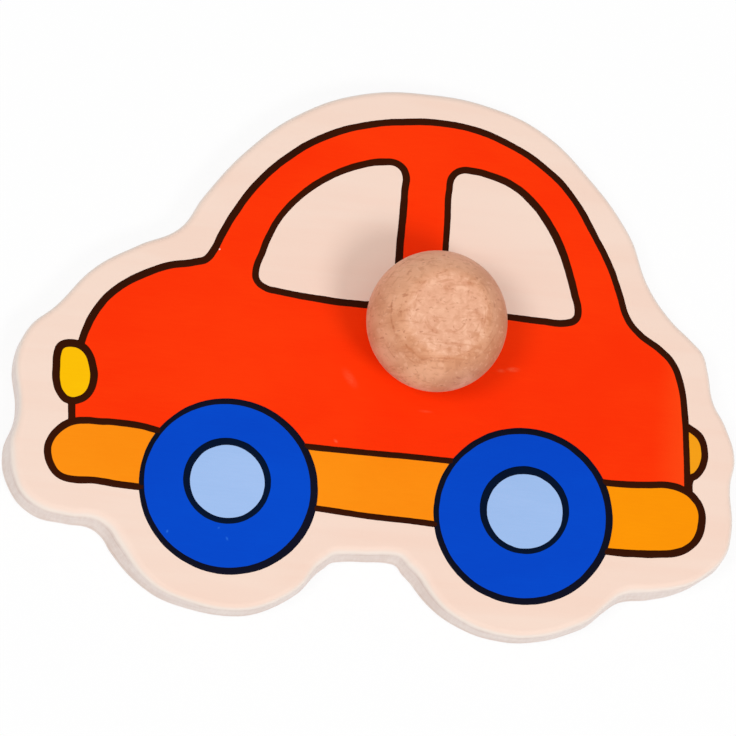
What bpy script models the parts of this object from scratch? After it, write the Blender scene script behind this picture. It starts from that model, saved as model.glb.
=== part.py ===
# Lift-out piece of a toddler's peg puzzle: a jigsawn plywood board in the
# outline of a motor car, with a turned beech knob screwed on from the back.
#
# The board lies on its back. +X runs along the car's length towards its boot,
# +Y goes up the picture and +Z comes out of the picture through the knob.
# The origin is at the middle of the board's box, on the plane of its back.

import math

import bmesh
import bpy
from mathutils import Matrix, Vector

mm = 0.001

# Board
board_length = 104.6 * mm
board_height = 78.0 * mm
face_ply_thickness = 1.5 * mm
core_ply_thickness = 3.0 * mm
back_ply_thickness = 1.5 * mm
edge_rounding = 1.0 * mm
rounding_steps = 4

# Outline of the car, drawn in units that the board's size then stretches.
# The drawing's origin is on the wheel line, half way between the two wheels.
lobe_spacing = 42.35
lobe_middle_x = -0.3
lobe_middle_y = 0.4
front_lobe_half_width = 18.75
front_lobe_half_depth = 18.2
rear_lobe_half_width = 18.3
rear_lobe_half_depth = 17.9
curve_steps = 5

# Knob
knob_diameter = 20.0 * mm
knob_foot_diameter = 9.2 * mm
knob_top_flat_diameter = 11.8 * mm
knob_edge_break = 0.3 * mm
knob_from_boot_end = 45.5 * mm
knob_above_lower_edge = 42.5 * mm
knob_turns = 64
knob_arc_steps = 22

# Countersunk wood screw, put in from the back
screw_length = 16.0 * mm
screw_shank_diameter = 3.0 * mm
screw_core_diameter = 2.2 * mm
screw_head_diameter = 5.6 * mm
screw_head_rim = 0.25 * mm
screw_tip_length = 2.4 * mm
screw_head_sink = 0.3 * mm
recess_width = 0.8 * mm
recess_span = 2.8 * mm
recess_depth = 1.1 * mm
recess_taper = 0.7
screw_turns = 32

# Free space around the screw in its holes
screw_clearance = 0.3 * mm
pilot_end_clearance = 0.6 * mm

board_thickness = back_ply_thickness + core_ply_thickness + face_ply_thickness
core_bottom = back_ply_thickness
face_bottom = back_ply_thickness + core_ply_thickness

knob_place = Vector((
    board_length / 2 - knob_from_boot_end,
    knob_above_lower_edge - board_height / 2,
    board_thickness,
))


def arc(centre_x, half_width, half_depth, start, end, count):
    # Points on a wheel's lobe, a slightly flattened circle about the wheel
    # line; the angles are in degrees
    points = []
    for step in range(count):
        angle = math.radians(start + (end - start) * step / (count - 1))
        x = centre_x + half_width * math.cos(angle)
        y = lobe_middle_y + half_depth * math.sin(angle)
        points.append((x, y))
    return points


def car_outline():
    # The board's edge, anticlockwise from the front wheel: the margin of bare
    # wood around the printed car swells over wheels, bumpers and lamps
    front_x = lobe_middle_x - lobe_spacing / 2
    rear_x = lobe_middle_x + lobe_spacing / 2
    front_wheel = arc(front_x, front_lobe_half_width, front_lobe_half_depth, 216, 326, 7)
    belly = [(-5.0, -8.75), (-3.7, -8.35), (-0.4, -8.05), (2.9, -7.8), (4.4, -8.05)]
    rear_wheel = arc(rear_x, rear_lobe_half_width, rear_lobe_half_depth, 212, 317, 7)
    rear_bumper = [
        (36.5, -10.2), (40.6, -9.35), (44.5, -8.0), (47.7, -5.95),
        (50.5, -3.25), (51.4, 0.8), (50.75, 7.4),
    ]
    tail_lamp = [(51.1, 11.5), (49.5, 16.0), (47.5, 19.4)]
    boot = [(46.4, 23.85), (45.55, 26.2), (43.8, 27.9), (40.45, 30.95), (37.3, 35.0)]
    roof = [
        (33.2, 43.5), (27.6, 50.25), (20.55, 56.25), (12.6, 59.3), (3.8, 60.25),
        (-5.95, 59.25), (-14.75, 55.35), (-21.5, 49.6), (-27.45, 41.95),
    ]
    bonnet = [(-30.5, 37.0), (-36.35, 33.8), (-42.3, 29.9), (-47.35, 23.85)]
    head_lamp = [(-51.1, 20.1), (-52.5, 15.6), (-51.75, 8.8)]
    front_bumper = [
        (-53.2, 3.0), (-52.1, -2.0), (-48.4, -5.9), (-43.2, -6.85),
        (-40.0, -7.1), (-38.2, -8.2),
    ]
    sides = [
        front_wheel, belly, rear_wheel, rear_bumper, tail_lamp,
        boot, roof, bonnet, head_lamp, front_bumper,
    ]
    return [point for side in sides for point in side]


def make_material(name, colour, roughness):
    material = bpy.data.materials.new(name)
    material.use_nodes = True
    shader = material.node_tree.nodes["Principled BSDF"]
    shader.inputs["Base Color"].default_value = (*colour, 1.0)
    shader.inputs["Roughness"].default_value = roughness
    shader.inputs["Metallic"].default_value = 0.0
    material.diffuse_color = (*colour, 1.0)
    return material


def make_metal(name, colour, roughness):
    material = make_material(name, colour, roughness)
    material.node_tree.nodes["Principled BSDF"].inputs["Metallic"].default_value = 1.0
    return material


def finish_object(thing, material, collection):
    thing.data.materials.clear()
    thing.data.materials.append(material)
    collection.objects.link(thing)
    return thing


def outline_slab(name, thickness):
    # The outline as a filled 2D curve, extruded both ways from its middle
    curve = bpy.data.curves.new(name, "CURVE")
    curve.dimensions = "2D"
    curve.fill_mode = "BOTH"
    curve.extrude = thickness / 2
    curve.resolution_u = curve_steps
    spline = curve.splines.new("BEZIER")
    points = car_outline()
    spline.bezier_points.add(len(points) - 1)
    for knot, (x, y) in zip(spline.bezier_points, points):
        knot.co = (x * mm, y * mm, 0.0)
        knot.handle_left_type = "AUTO"
        knot.handle_right_type = "AUTO"
    spline.use_cyclic_u = True
    holder = bpy.data.objects.new(name, curve)
    bpy.context.scene.collection.objects.link(holder)
    graph = bpy.context.evaluated_depsgraph_get()
    mesh = bpy.data.meshes.new_from_object(holder.evaluated_get(graph))
    mesh.name = name
    bpy.data.objects.remove(holder)
    bpy.data.curves.remove(curve)
    return mesh


def fit_to_board(mesh, thickness):
    # Stretch the drawing onto the board's length and height, centred, with
    # the slab's lower face at zero
    xs = [vertex.co.x for vertex in mesh.vertices]
    ys = [vertex.co.y for vertex in mesh.vertices]
    stretch_x = board_length / (max(xs) - min(xs))
    stretch_y = board_height / (max(ys) - min(ys))
    middle = Vector(((max(xs) + min(xs)) / 2, (max(ys) + min(ys)) / 2, -thickness / 2))
    mesh.transform(Matrix.Translation(-middle))
    mesh.transform(Matrix.Diagonal((stretch_x, stretch_y, 1.0, 1.0)))


def join_caps(mesh):
    # Weld the curve's loose caps and turn each cap into one flat face
    shape = bmesh.new()
    shape.from_mesh(mesh)
    bmesh.ops.remove_doubles(shape, verts=shape.verts, dist=0.001 * mm)
    bmesh.ops.dissolve_limit(
        shape, angle_limit=math.radians(0.2), verts=shape.verts, edges=shape.edges
    )
    bmesh.ops.recalc_face_normals(shape, faces=shape.faces)
    shape.to_mesh(mesh)
    shape.free()


def mark_arris(mesh, level):
    # Weight the outline's edge at one height, so that only it is rounded over
    weights = mesh.attributes.new("bevel_weight_edge", "FLOAT", "EDGE")
    for edge in mesh.edges:
        ends = [mesh.vertices[index].co.z for index in edge.vertices]
        on_level = all(abs(z - level) < 0.01 * mm for z in ends)
        weights.data[edge.index].value = 1.0 if on_level else 0.0


def round_over(thing, ply_thickness):
    bevel = thing.modifiers.new("Rounded arris", "BEVEL")
    bevel.limit_method = "WEIGHT"
    bevel.width = min(edge_rounding, 0.8 * ply_thickness)
    bevel.segments = rounding_steps
    bevel.use_clamp_overlap = False


def cut(thing, cutter, title):
    boolean = thing.modifiers.new(title, "BOOLEAN")
    boolean.operation = "DIFFERENCE"
    boolean.solver = "EXACT"
    boolean.object = cutter


def make_ply(name, bottom, thickness, material, collection):
    mesh = outline_slab(name, thickness)
    fit_to_board(mesh, thickness)
    join_caps(mesh)
    ply = bpy.data.objects.new(name, mesh)
    ply.location.z = bottom
    return finish_object(ply, material, collection)


def turned(name, profile, turns, smooth_angle=30.0):
    # A profile of (radius, height) pairs, from the top down its outer side,
    # turned about Z
    mesh = bpy.data.meshes.new(name)
    edges = [(index, index + 1) for index in range(len(profile) - 1)]
    mesh.from_pydata([(radius, 0.0, height) for radius, height in profile], edges, [])
    thing = bpy.data.objects.new(name, mesh)
    screw = thing.modifiers.new("Turning", "SCREW")
    screw.axis = "Z"
    screw.angle = math.radians(360.0)
    screw.steps = turns
    screw.render_steps = turns
    screw.use_merge_vertices = True
    screw.merge_threshold = 0.001 * mm
    bpy.context.scene.collection.objects.link(thing)
    graph = bpy.context.evaluated_depsgraph_get()
    solid = bpy.data.meshes.new_from_object(thing.evaluated_get(graph))
    solid.name = name
    bpy.data.objects.remove(thing)
    bpy.data.meshes.remove(mesh)
    solid.shade_smooth()
    solid.set_sharp_from_angle(angle=math.radians(smooth_angle))
    return bpy.data.objects.new(name, solid)


def knob_profile():
    # A ball flattened at its foot and, more widely, at its top, with the
    # blind pilot hole going up its axis from the foot
    radius = knob_diameter / 2
    foot = knob_foot_diameter / 2
    flat = knob_top_flat_diameter / 2
    foot_angle = math.asin(foot / radius)
    flat_angle = math.asin(flat / radius)
    centre = radius * math.cos(foot_angle)
    top = centre + radius * math.cos(flat_angle)
    profile = [(0.0, top), (flat - knob_edge_break, top)]
    for step in range(knob_arc_steps + 1):
        share = step / knob_arc_steps
        angle = flat_angle + (math.pi - foot_angle - flat_angle) * share
        height = centre + radius * math.cos(angle)
        height = min(max(height, knob_edge_break / 2), top - knob_edge_break / 2)
        profile.append((radius * math.sin(angle), height))
    pilot = screw_core_diameter / 2 + screw_clearance
    depth = screw_head_sink + screw_length - board_thickness + pilot_end_clearance
    profile.append((foot - knob_edge_break, 0.0))
    profile.append((pilot, 0.0))
    profile.append((pilot, depth - pilot))
    profile.append((0.0, depth))
    return profile


def screw_profile():
    # Tip up, head down: the head's flat top faces out of the board's back
    head = screw_head_diameter / 2
    shank = screw_shank_diameter / 2
    core = screw_core_diameter / 2
    head_top = screw_head_sink
    tip = head_top + screw_length
    neck = head_top + screw_head_rim + head - shank
    shoulder = board_thickness - screw_clearance
    return [
        (0.0, tip),
        (core, tip - screw_tip_length),
        (core, shoulder + shank - core),
        (shank, shoulder),
        (shank, neck),
        (head, head_top + screw_head_rim),
        (head, head_top),
        (0.0, head_top),
    ]


def drill_profile():
    # The clearance hole for the shank, with its countersink at the back
    shank = screw_shank_diameter / 2 + screw_clearance
    head = screw_head_diameter / 2 + screw_clearance
    rim = screw_head_sink + screw_head_rim
    overshoot = 1.0 * mm
    return [
        (0.0, board_thickness + overshoot),
        (shank, board_thickness + overshoot),
        (shank, rim + head - shank),
        (head, rim),
        (head, -overshoot),
        (0.0, -overshoot),
    ]


def recess_cutter(name, turn, collection):
    # One arm of the cross: a bar that narrows towards the bottom of the recess
    mesh = bpy.data.meshes.new(name)
    shape = bmesh.new()
    bmesh.ops.create_cube(shape, size=1.0)
    overshoot = 0.5 * mm
    for vertex in shape.verts:
        deep = vertex.co.z > 0.0
        narrowing = recess_taper if deep else 1.0
        vertex.co.x *= recess_span * narrowing
        vertex.co.y *= recess_width * narrowing
        vertex.co.z = screw_head_sink + (recess_depth if deep else -overshoot)
    shape.to_mesh(mesh)
    shape.free()
    arm = bpy.data.objects.new(name, mesh)
    arm.location = (knob_place.x, knob_place.y, 0.0)
    arm.rotation_euler.z = math.radians(turn)
    return make_cutter(arm, collection)


def make_cutter(thing, collection):
    thing.hide_render = True
    thing.display_type = "WIRE"
    collection.objects.link(thing)
    return thing


def main():
    for thing in list(bpy.data.objects):
        bpy.data.objects.remove(thing)

    puzzle = bpy.data.collections.new("Puzzle car")
    cutters = bpy.data.collections.new("Cutters")
    bpy.context.scene.collection.children.link(puzzle)
    bpy.context.scene.collection.children.link(cutters)

    face_birch = make_material("Face ply, pale birch", (0.91, 0.70, 0.58), 0.35)
    core_birch = make_material("Core ply, end grain", (0.62, 0.47, 0.38), 0.60)
    back_birch = make_material("Back ply, pale birch", (0.80, 0.62, 0.50), 0.50)
    beech = make_material("Turned beech", (0.78, 0.40, 0.24), 0.45)
    zinc = make_metal("Zinc plated steel", (0.62, 0.63, 0.64), 0.35)

    drill = turned("screw_hole_drill", drill_profile(), screw_turns)
    drill.location = (knob_place.x, knob_place.y, 0.0)
    make_cutter(drill, cutters)

    back_ply = make_ply("back_ply", 0.0, back_ply_thickness, back_birch, puzzle)
    mark_arris(back_ply.data, 0.0)
    round_over(back_ply, back_ply_thickness)

    core_ply = make_ply("core_ply", core_bottom, core_ply_thickness, core_birch, puzzle)

    face_ply = make_ply("face_ply", face_bottom, face_ply_thickness, face_birch, puzzle)
    mark_arris(face_ply.data, face_ply_thickness)
    round_over(face_ply, face_ply_thickness)

    for ply in (back_ply, core_ply, face_ply):
        cut(ply, drill, "Screw hole")

    knob = turned("knob", knob_profile(), knob_turns)
    knob.location = knob_place
    finish_object(knob, beech, puzzle)

    fastener = turned("knob_screw", screw_profile(), screw_turns)
    fastener.location = (knob_place.x, knob_place.y, 0.0)
    finish_object(fastener, zinc, puzzle)
    for number, turn in enumerate((0.0, 90.0)):
        arm = recess_cutter(f"recess_arm_{number + 1}", turn, cutters)
        cut(fastener, arm, "Cross recess")

    bpy.context.view_layer.update()


main()
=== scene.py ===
import math

import bmesh
import bpy
from mathutils import Matrix, Vector, noise


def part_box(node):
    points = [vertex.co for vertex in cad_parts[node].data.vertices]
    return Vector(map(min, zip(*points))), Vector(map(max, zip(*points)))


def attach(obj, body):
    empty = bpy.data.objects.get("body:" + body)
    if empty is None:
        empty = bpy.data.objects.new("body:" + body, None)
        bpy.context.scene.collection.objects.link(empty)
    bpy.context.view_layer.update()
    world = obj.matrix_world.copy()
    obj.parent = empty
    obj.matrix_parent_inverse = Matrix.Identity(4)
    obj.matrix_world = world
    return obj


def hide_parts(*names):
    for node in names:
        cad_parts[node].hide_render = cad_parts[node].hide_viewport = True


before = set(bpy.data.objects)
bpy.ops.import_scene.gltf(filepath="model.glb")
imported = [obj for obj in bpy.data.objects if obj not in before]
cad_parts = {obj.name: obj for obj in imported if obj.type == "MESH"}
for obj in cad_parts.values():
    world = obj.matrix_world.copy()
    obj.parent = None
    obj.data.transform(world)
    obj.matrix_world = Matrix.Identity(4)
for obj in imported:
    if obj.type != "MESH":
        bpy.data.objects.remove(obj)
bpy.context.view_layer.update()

mm = 0.001


def srgb(red, green, blue):
    # a colour as it reads in the photo, 0 to 255, made linear
    linear = []
    for level in (red, green, blue):
        share = level / 255
        linear.append(share / 12.92 if share <= 0.04045 else ((share + 0.055) / 1.055) ** 2.4)
    return (*linear, 1.0)


# Small tools for building node trees

class Field:
    # a node's output that a formula can use as if it were a number
    def __init__(self, tree, socket):
        self.tree = tree
        self.socket = socket

    def calc(self, operation, other=0.0, clamp=False):
        return field(self.tree, "ShaderNodeMath", {0: self, 1: other}, operation=operation, use_clamp=clamp)

    def __add__(self, other):
        return self.calc("ADD", other)

    def __sub__(self, other):
        return self.calc("SUBTRACT", other)

    def __rsub__(self, other):
        return field(self.tree, "ShaderNodeMath", {0: other, 1: self}, operation="SUBTRACT")

    def __mul__(self, other):
        return self.calc("MULTIPLY", other)

    def __truediv__(self, other):
        return self.calc("DIVIDE", other)

    def __abs__(self):
        return self.calc("ABSOLUTE")

    def remap(self, low, high, toLow=0.0, toHigh=1.0):
        # a soft step: toLow at low, toHigh at high
        inputs = {"Value": self, "From Min": low, "From Max": high, "To Min": toLow, "To Max": toHigh}
        return field(self.tree, "ShaderNodeMapRange", inputs, interpolation_type="SMOOTHSTEP")


def fill(tree, node, inputs):
    # each input, by name or number, takes another node's output or a plain value
    for key, value in inputs.items():
        if isinstance(value, Field):
            tree.links.new(value.socket, node.inputs[key])
        else:
            node.inputs[key].default_value = value


def addNode(tree, kind, inputs, **settings):
    made = tree.nodes.new(kind)
    for key, value in settings.items():
        setattr(made, key, value)
    fill(tree, made, inputs)
    return made


def field(tree, kind, inputs, output=0, **settings):
    return Field(tree, addNode(tree, kind, inputs, **settings).outputs[output])


def split(tree, vector):
    return [Field(tree, part) for part in addNode(tree, "ShaderNodeSeparateXYZ", {0: vector}).outputs]


def combine(tree, x, y=0.0, z=0.0):
    return field(tree, "ShaderNodeCombineXYZ", {0: x, 1: y, 2: z})


def vectorMath(tree, operation, inputs, output=0):
    return field(tree, "ShaderNodeVectorMath", inputs, output, operation=operation)


def blend(tree, share, first, second):
    return field(tree, "ShaderNodeMix", {0: share, 6: first, 7: second}, 2, data_type="RGBA")


def objectPlace(tree):
    return field(tree, "ShaderNodeTexCoord", {}, "Object")


def placeInMm(tree, perMm=(1.0, 1.0, 1.0), centre=(0.0, 0.0, 0.0), turn=(0.0, 0.0, 0.0)):
    # Object coordinates from a centre, turned with the piece, then perMm units to the millimetre
    scale = [mm / value for value in perMm]
    inputs = {"Vector": objectPlace(tree), "Location": centre, "Rotation": turn, "Scale": scale}
    return field(tree, "ShaderNodeMapping", inputs, vector_type="TEXTURE")


def noiseAt(tree, vector, detail, roughness=0.5, distortion=0.0):
    character = {"Detail": detail, "Roughness": roughness, "Distortion": distortion}
    return field(tree, "ShaderNodeTexNoise", {"Vector": vector, "Scale": 1.0, **character})


def grain(tree, perMm, *character):
    return noiseAt(tree, placeInMm(tree, perMm), *character)


def newMaterial(name):
    material = bpy.data.materials.new(name)
    material.use_nodes = True
    tree = material.node_tree
    return material, tree, tree.nodes["Principled BSDF"]


def finishShader(tree, shader, colour, roughness, shine, relief, depth):
    bump = field(tree, "ShaderNodeBump", {"Strength": 1.0, "Distance": depth, "Height": relief})
    inputs = {"Base Color": colour, "Roughness": roughness, "Specular IOR Level": shine, "Normal": bump}
    fill(tree, shader, inputs)


def newTree(name, sizes, otherInputs):
    # a Geometry Nodes tree, and its inputs by their names
    tree = bpy.data.node_groups.new(name, "GeometryNodeTree")
    kinds = {"Geometry": "Geometry", **dict.fromkeys(sizes, "Float"), **otherInputs, "Material": "Material"}
    for label, kind in kinds.items():
        tree.interface.new_socket(name=label, in_out="INPUT", socket_type="NodeSocket" + kind)
    tree.interface.new_socket(name="Geometry", in_out="OUTPUT", socket_type="NodeSocketGeometry")
    sockets = addNode(tree, "NodeGroupInput", {}).outputs
    return tree, {label: Field(tree, sockets[label]) for label in kinds}


def endTree(tree, geometry, material):
    realized = field(tree, "GeometryNodeRealizeInstances", {"Geometry": geometry})
    painted = field(tree, "GeometryNodeSetMaterial", {"Geometry": realized, "Material": material})
    addNode(tree, "NodeGroupOutput", {"Geometry": painted})
    return tree


def addTree(piece, tree, values):
    # the tree as a modifier, its inputs set by their identifiers
    modifier = piece.modifiers.new(tree.name, "NODES")
    modifier.node_group = tree
    for item in tree.interface.items_tree:
        if item.in_out == "INPUT" and item.name in values:
            modifier[item.identifier] = values[item.name]


# Small tools for building meshes

def addObject(name, data):
    made = bpy.data.objects.new(name, data)
    bpy.context.scene.collection.objects.link(made)
    return made


def evaluatedMesh(piece):
    graph = bpy.context.evaluated_depsgraph_get()
    return bpy.data.meshes.new_from_object(piece.evaluated_get(graph))


def curveMesh(curve):
    holder = addObject(curve.name, curve)
    mesh = evaluatedMesh(holder)
    bpy.data.objects.remove(holder)
    bpy.data.curves.remove(curve)
    return mesh


def smoothPath(points, closed, steps):
    # the points joined by a smooth curve, as a list of (x, y) in the drawing's units
    curve = bpy.data.curves.new("path", "CURVE")
    curve.dimensions = "3D"
    curve.resolution_u = steps
    spline = curve.splines.new("BEZIER")
    spline.bezier_points.add(len(points) - 1)
    for knot, (x, y) in zip(spline.bezier_points, points):
        knot.co = (x * mm, y * mm, 0.0)
        knot.handle_left_type = "AUTO"
        knot.handle_right_type = "AUTO"
    spline.use_cyclic_u = closed
    mesh = curveMesh(curve)
    path = [(vertex.co.x / mm, vertex.co.y / mm) for vertex in mesh.vertices]
    bpy.data.meshes.remove(mesh)
    return path


def meshObject(name, mesh, *materials):
    mesh.name = name
    mesh.materials.clear()
    for material in materials:
        mesh.materials.append(material)
    return addObject(name, mesh)


def closeMesh(shape, mesh):
    # the finished shape goes into the mesh, its faces turned outwards
    bmesh.ops.recalc_face_normals(shape, faces=shape.faces)
    shape.to_mesh(mesh)
    shape.free()
    return mesh


def ringMesh(rings):
    # a closed mesh round rings of points; a ring of one point closes an end by itself
    shape = bmesh.new()
    rings = [[shape.verts.new(point) for point in ring] for ring in rings]
    for first, second in zip(rings, rings[1:]):
        count = max(len(first), len(second))
        for index in range(count):
            after = (index + 1) % count
            corners = [first[index % len(first)], first[after % len(first)]]
            corners += [second[after % len(second)], second[index % len(second)]]
            shape.faces.new(list(dict.fromkeys(corners)))
    for ring in (rings[0], rings[-1]):
        if len(ring) > 1:
            shape.faces.new(ring)
    return closeMesh(shape, bpy.data.meshes.new("rings"))


def turnedMesh(profile, turns, centre):
    # a profile of (radius, height) pairs, top first, spun about a standing axis
    rings = []
    for radius, height in profile:
        angles = [2 * math.pi * step / turns for step in range(turns if radius > 0 else 1)]
        rings.append([
            (centre[0] + radius * math.cos(angle), centre[1] + radius * math.sin(angle), height)
            for angle in angles
        ])
    return ringMesh(rings)


def cutAway(piece, cutter):
    cut = piece.modifiers.new(cutter.name, "BOOLEAN")
    cut.operation = "DIFFERENCE"
    cut.solver = "EXACT"
    cut.object = cutter


def bakeModifiers(piece):
    # the evaluated mesh takes the place of the modifiers
    mesh = evaluatedMesh(piece)
    piece.modifiers.clear()
    old = piece.data
    piece.data = mesh
    bpy.data.meshes.remove(old)
    mesh.name = piece.name


def shadeRound(piece, angle=30.0):
    piece.data.shade_smooth()
    piece.data.set_sharp_from_angle(angle=math.radians(angle))


# The board's outline, the same one that the solids have

boardEdge = {
    "lobeSpacing": 42.35,
    "lobeMiddle": (-0.3, 0.4),
    "frontLobe": (18.75, 18.2),
    "rearLobe": (18.3, 17.9),
    "cadSteps": 5,
    "fineSteps": 16,
    "rounding": 1.0 * mm,
    "roundingSteps": 9,
    "roundingWander": 0.12,
    "wanderPerMetre": 90.0,
    "sawWander": [   # where the saw left the line: the place, how far outwards, over what reach
        ((-36.3, -11.0), 0.06, 2.5), ((-24.5, -17.6), -0.24, 3.0), ((-15.8, -17.0), 0.27, 3.0),
        ((-7.0, -11.0), -0.32, 2.4), ((-1.2, -8.6), -0.08, 2.0), ((5.2, -8.9), 0.28, 1.6),
        ((32.1, -13.6), 0.32, 2.4), ((-52.4, 5.9), -0.32, 2.6), ((34.6, 41.0), 0.15, 3.0),
        ((43.8, 28.2), 0.10, 2.5),
    ],
    # where the blade leaned: the place, how far the face lies inside the back, over what reach
    "sawLean": [
        ((-53.0, 0.8), 1.00, 4.8), ((-47.8, -6.0), 0.42, 4.0), ((-36.8, -10.2), 1.00, 5.5),
        ((-21.5, -18.0), -0.25, 5.0), ((-6.5, -10.6), 0.55, 4.0), ((1.0, -8.0), 0.15, 3.0),
        ((6.8, -10.8), 0.78, 4.5), ((22.0, -18.0), -0.28, 7.0), ((38.5, -10.2), 0.35, 4.8),
        ((47.6, -7.6), -0.45, 3.0),
    ],
    "leanRounding": 0.6,   # how much wider the rounding-over is for each mm of lean
}


def arc(centre, halves, start, end, count):
    points = []
    for step in range(count):
        angle = math.radians(start + (end - start) * step / (count - 1))
        points.append((centre[0] + halves[0] * math.cos(angle), centre[1] + halves[1] * math.sin(angle)))
    return points


def carOutline():
    middleX, middleY = boardEdge["lobeMiddle"]
    half = boardEdge["lobeSpacing"] / 2
    frontWheel = arc((middleX - half, middleY), boardEdge["frontLobe"], 216, 326, 7)
    belly = [(-5.0, -8.75), (-3.7, -8.35), (-0.4, -8.05), (2.9, -7.8), (4.4, -8.05)]
    rearWheel = arc((middleX + half, middleY), boardEdge["rearLobe"], 212, 317, 7)
    rearBumper = [
        (36.5, -10.2), (40.6, -9.35), (44.5, -8.0), (47.7, -5.95),
        (50.5, -3.25), (51.4, 0.8), (50.75, 7.4),
    ]
    tailLamp = [(51.1, 11.5), (49.5, 16.0), (47.5, 19.4)]
    boot = [(46.4, 23.85), (45.55, 26.2), (43.8, 27.9), (40.45, 30.95), (37.3, 35.0)]
    roof = [
        (33.2, 43.5), (27.6, 50.25), (20.55, 56.25), (12.6, 59.3), (3.8, 60.25),
        (-5.95, 59.25), (-14.75, 55.35), (-21.5, 49.6), (-27.45, 41.95),
    ]
    bonnet = [(-30.5, 37.0), (-36.35, 33.8), (-42.3, 29.9), (-47.35, 23.85)]
    headLamp = [(-51.1, 20.1), (-52.5, 15.6), (-51.75, 8.8)]
    frontBumper = [
        (-53.2, 3.0), (-52.1, -2.0), (-48.4, -5.9), (-43.2, -6.85),
        (-40.0, -7.1), (-38.2, -8.2),
    ]
    return [
        *frontWheel, *belly, *rearWheel, *rearBumper, *tailLamp,
        *boot, *roof, *bonnet, *headLamp, *frontBumper,
    ]


boardLow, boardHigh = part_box("face_ply")
coreLow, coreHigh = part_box("core_ply")
faceHeight = boardHigh.z
drawnEdge = smoothPath(carOutline(), True, boardEdge["cadSteps"])
drawnLow = [min(point[axis] for point in drawnEdge) for axis in (0, 1)]
drawnHigh = [max(point[axis] for point in drawnEdge) for axis in (0, 1)]
perUnit = [(boardHigh[axis] - boardLow[axis]) / (drawnHigh[axis] - drawnLow[axis]) for axis in (0, 1)]


def onBoard(point):
    # from the drawing's units to metres on the board
    return tuple(boardLow[axis] + (point[axis] - drawnLow[axis]) * perUnit[axis] for axis in (0, 1))


def pointing(turn, rise):
    # the direction at a turn about the upright and a rise from the level, in degrees
    turn, rise = math.radians(turn), math.radians(rise)
    return Vector((math.cos(rise) * math.cos(turn), math.cos(rise) * math.sin(turn), math.sin(rise)))


# Camera: a long lens over the board's lower left, tipped as the two wheels show

shot = {
    "tilt": 15.81,
    "leanTowards": -116.54,
    "roll": 4.96,
    "distance": 4.0,
    "pixelsPerMm": 7.04,
    "frame": 736,
    "sensor": 36.0,
    "aim": (-2.34, 19.14),
}


def setCamera():
    data = bpy.data.cameras.new("camera")
    data.sensor_fit = "HORIZONTAL"
    data.sensor_width = shot["sensor"]
    across = shot["frame"] / shot["pixelsPerMm"] * mm
    data.lens = shot["sensor"] * shot["distance"] / across
    data.clip_end = shot["distance"] * 10
    back = pointing(shot["leanTowards"], 90.0 - shot["tilt"])
    tip = Vector((0.0, 0.0, 1.0)).rotation_difference(back)
    right = tip @ pointing(shot["roll"], 0.0)
    up = tip @ pointing(shot["roll"] + 90.0, 0.0)
    place = Matrix((right, up, back)).transposed().to_4x4()
    place.translation = Vector((*onBoard(shot["aim"]), faceHeight)) + back * shot["distance"]
    camera = addObject("camera", data)
    camera.matrix_world = place
    bpy.context.scene.camera = camera


setCamera()
print("camera set")


# Board: three plies of pale birch, sawn and rounded over

birch = {
    "face": srgb(247, 221, 205),
    "faceStreak": srgb(245, 212, 194),
    "back": srgb(240, 212, 190),
    "backStreak": srgb(229, 196, 171),
    "wallPale": srgb(240, 225, 217),
    "wallDark": srgb(228, 208, 198),
    # a paler colour on the rounded-over edges that paints their highlight
    "arris": srgb(245, 230, 219),
    "glue": srgb(206, 172, 152),
    "glueWidth": 0.22 * mm,
    "glueShare": 0.5,
    "roughness": 0.46,
    "wallRoughness": 0.36,
    "shine": 0.25,
    "poreDepth": 0.006 * mm,
    "sawDepth": 0.015 * mm,
    "steepest": 0.55,   # a face that stands steeper than this shows the wall's wood
    # each grain: units to the mm, detail, roughness, distortion
    "figure": ((0.02, 0.35, 0.35), 4.0, 0.55, 0.6),
    "faceCloud": ((0.022, 0.11, 0.11), 2.0, 0.5, 0.8),
    "fibre": ((0.25, 5.0, 5.0), 3.0, 0.6),
    "pores": ((0.7, 9.0, 9.0), 1.0, 0.4),
    "sawStreaks": ((2.2, 2.2, 0.3), 3.0, 0.6),
    "wallCloud": ((0.16, 0.16, 0.5), 2.0),
    "flecks": ((0.8, 0.8, 6.0), 2.0),
}

# the screw's hole through the board, in mm
drilled = {
    "shankRadius": 1.8,
    "headClearance": 0.3,
    "headRim": 0.55,
    "past": 1.0,
    "turns": 96,
}


def faceBirch(name, pale, streak):
    material, tree, shader = newMaterial(name)
    # long faint figure along the car, broad clouds, and fine short pores
    fibre = grain(tree, *birch["fibre"])
    poreMark = grain(tree, *birch["pores"]).remap(0.68, 0.80)
    tone = grain(tree, *birch["figure"]).remap(0.35, 0.7, 0.0, 0.3) + fibre * 0.2
    tone += grain(tree, *birch["faceCloud"]).remap(0.42, 0.62, 0.0, 0.35)
    colour = blend(tree, tone.calc("ADD", poreMark * 0.2, clamp=True), pale, streak)
    # a painted highlight on the rounded-over edge: paler from the edge of either face to where the
    # rounding-over meets the wall
    middle = boardHigh.z / 2
    rounding = boardEdge["rounding"]
    fromMiddle = abs(split(tree, objectPlace(tree))[2] - middle)
    rounded = fromMiddle.remap(middle - rounding * 0.03, middle - rounding * 0.55)
    colour = blend(tree, rounded, colour, birch["arris"])
    relief = fibre * 0.5 - poreMark
    finishShader(tree, shader, colour, birch["roughness"], birch["shine"], relief, birch["poreDepth"])
    return material


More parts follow.
